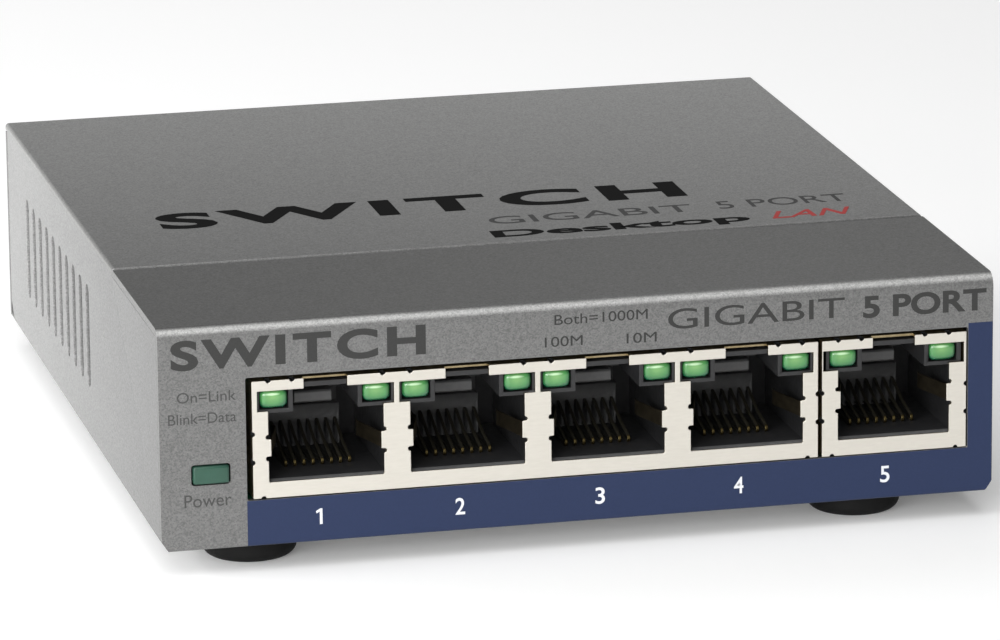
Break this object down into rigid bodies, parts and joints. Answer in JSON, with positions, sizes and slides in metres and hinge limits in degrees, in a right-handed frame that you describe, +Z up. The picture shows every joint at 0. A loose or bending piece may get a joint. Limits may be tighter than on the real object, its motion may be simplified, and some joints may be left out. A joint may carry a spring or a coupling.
{
  "type": "desktop network switch",
  "caption": "Desktop network switch in a folded steel case, with shielded plug sockets along the front, link lights above them, side vents and rubber feet.",
  "frame": {"origin": "on the desk under the middle of the case", "axes": "+X to the right seen from the front, +Y from the ports to the rear panel, +Z up"},
  "size_m": [0.094, 0.1022, 0.028],
  "materials": {
    "case_paint": "grey metallic paint with a fine speckle, and one blue band under and beside the ports",
    "nickel": "satin nickel plate on thin pressed sheet",
    "black_plastic": "moulded black plastic",
    "green_lens": "tinted green lens with a darker rim",
    "power_lens": "dark teal-green lens",
    "gold": "gold plated spring wire",
    "rubber": "black rubber",
    "board": "green lacquered laminate",
    "zinc_steel": "zinc plated steel",
    "black_screw": "black oxide steel",
    "chip": "moulded black epoxy",
    "aluminium": "satin aluminium",
    "steel_can": "drawn can",
    "ferrite": "ground ferrite",
    "lamp_resin": "cast resin",
    "button_plastic": "moulded brown plastic"
  },
  "bodies": {
    "switch_case": {"base_chassis": "case_paint", "board_pillar_1": "zinc_steel", "board_pillar_2": "zinc_steel", "board_pillar_3": "zinc_steel", "board_pillar_4": "zinc_steel", "board_screw_1": "zinc_steel", "board_screw_2": "zinc_steel", "board_screw_3": "zinc_steel", "board_screw_4": "zinc_steel", "capacitor_1": "aluminium", "capacitor_2": "aluminium", "circuit_board": "board", "contact_set_1": "gold", "contact_set_2": "gold", "contact_set_3": "gold", "contact_set_4": "gold", "contact_set_5": "gold", "cover_screw_left": "black_screw", "cover_screw_right": "black_screw", "crystal": "steel_can", "foot_front_left": "rubber", "foot_front_right": "rubber", "foot_rear_left": "rubber", "foot_rear_right": "rubber", "heat_sink": "aluminium", "jack_housing_quad": "black_plastic", "jack_housing_single": "black_plastic", "jack_shield_quad": "nickel", "jack_shield_single": "nickel", "link_light_1_left": "green_lens", "link_light_1_right": "green_lens", "link_light_2_left": "green_lens", "link_light_2_right": "green_lens", "link_light_3_left": "green_lens", "link_light_3_right": "green_lens", "link_light_4_left": "green_lens", "link_light_4_right": "green_lens", "link_light_5_left": "green_lens", "link_light_5_right": "green_lens", "memory_chip": "chip", "power_lamp": "lamp_resin", "power_light_guide": "power_lens", "reset_switch_body": "black_plastic", "supply_coil": "ferrite", "supply_socket": "black_plastic", "supply_socket_pin": "nickel", "switch_chip": "chip", "top_cover": "case_paint", "transformer_1": "chip", "transformer_2": "chip", "transformer_3": "chip"},
    "reset_plunger": {"reset_button": "button_plastic"}
  },
  "joints": [
    {"name": "reset_press", "type": "slide", "parent": "switch_case", "child": "reset_plunger", "axis": [0, -1, 0], "range_m": [0, 0.00025], "stiffness_N_per_m": 3000}
  ]
}
